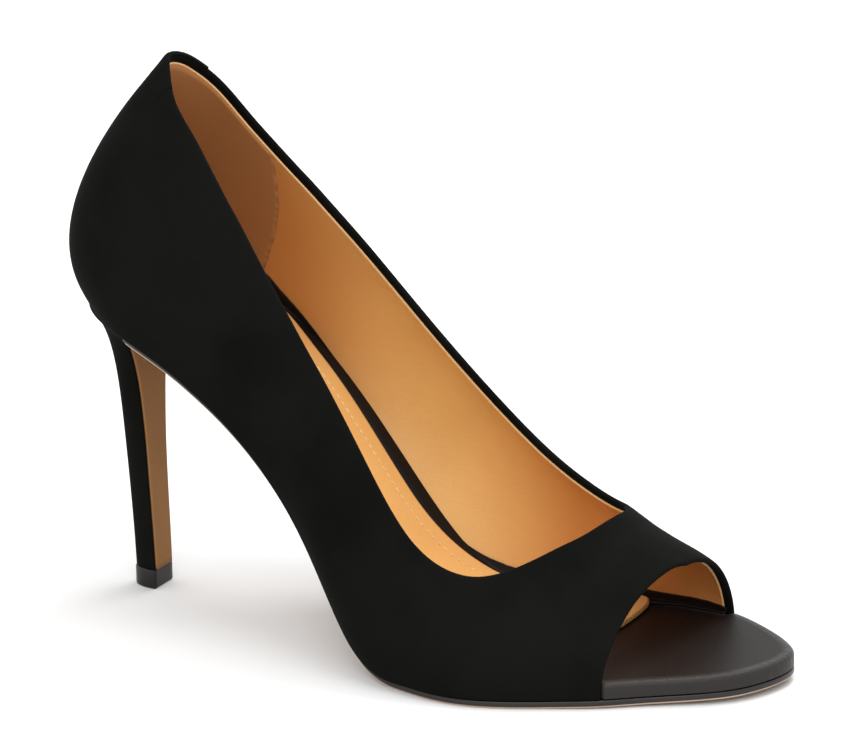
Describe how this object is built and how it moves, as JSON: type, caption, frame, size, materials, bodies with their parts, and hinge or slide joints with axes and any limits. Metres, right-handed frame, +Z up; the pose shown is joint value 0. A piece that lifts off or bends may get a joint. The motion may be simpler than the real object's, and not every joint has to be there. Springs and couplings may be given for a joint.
{
  "type": "peep-toe stiletto pump",
  "caption": "Black suede peep-toe stiletto pump for the right foot: tan leather lining and sock, bare dark leather toe platform, slim suede covered heel.",
  "frame": {"origin": "on the floor plane, under the middle of the shoe's bounding box", "axes": "+X from the heel to the toe, +Y to the inner side of the right foot, +Z up"},
  "size_m": [0.2146, 0.0884, 0.156],
  "materials": {
    "suede": "black suede, matte nap",
    "tab_suede": "black suede, matte nap",
    "platform_leather": "smooth dark leather, satin",
    "sock_leather": "tan leather, fine grain, satin",
    "outsole": "dark polished edge",
    "heel_suede": "black suede, matte nap",
    "breast_leather": "brown leather, satin",
    "top_piece": "dark brown, satin"
  },
  "bodies": {
    "root": {"upper": "suede", "back_tab": "tab_suede", "insole": "platform_leather", "sock": "sock_leather", "outsole": "outsole", "heel": "heel_suede", "heel_breast": "breast_leather", "top_piece": "top_piece"}
  },
  "joints": []
}
